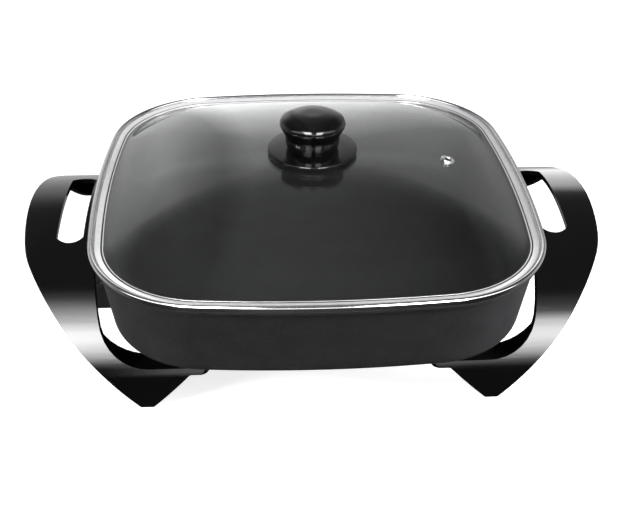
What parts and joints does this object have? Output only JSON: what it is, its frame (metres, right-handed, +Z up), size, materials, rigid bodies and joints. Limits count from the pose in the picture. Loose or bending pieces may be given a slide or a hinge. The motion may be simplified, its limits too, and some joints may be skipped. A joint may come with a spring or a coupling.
{
  "type": "electric skillet",
  "caption": "Square electric frying pan on moulded black handle-legs, with a lift-off domed glass lid in a steel band and a black mushroom knob",
  "frame": {"origin": "on the table, under the middle of the pan", "axes": "Z up, X to the object's right seen from the front, Y to the back"},
  "size_m": [0.4182, 0.32, 0.1602],
  "materials": {
    "nonstick": "cast aluminium under a matt charcoal non-stick coating with a fine fleck",
    "sheath": "dull annealed element sheath",
    "contact": "plated contact pins",
    "ceramic": "unglazed white ceramic",
    "zinc": "bright zinc plate",
    "housing": "matt black phenolic",
    "handle": "polished black phenolic",
    "glass": "clear tempered glass, slightly grey",
    "steel": "polished stainless steel",
    "brass": "turned brass",
    "silicone": "black silicone"
  },
  "bodies": {
    "base": {"pan_body": "nonstick", "heating_element": "sheath", "terminal_pins": "contact", "pin_insulators": "ceramic", "earth_blade": "zinc", "earth_screw": "zinc", "inlet_housing": "housing", "housing_screws": "zinc", "left_handle": "handle", "right_handle": "handle", "handle_screws": "zinc", "handle_washers": "zinc"},
    "lid": {"lid_glass": "glass", "lid_rim": "steel", "steam_vent": "steel", "knob": "handle", "knob_insert": "brass", "knob_guard": "handle", "knob_gasket": "silicone", "lower_gasket": "silicone", "lower_washer": "zinc", "knob_screw": "zinc"}
  },
  "joints": [
    {"name": "lid_lift", "type": "slide", "parent": "base", "child": "lid", "axis": [0, 0, 1], "range_m": [0, 0.12]}
  ]
}
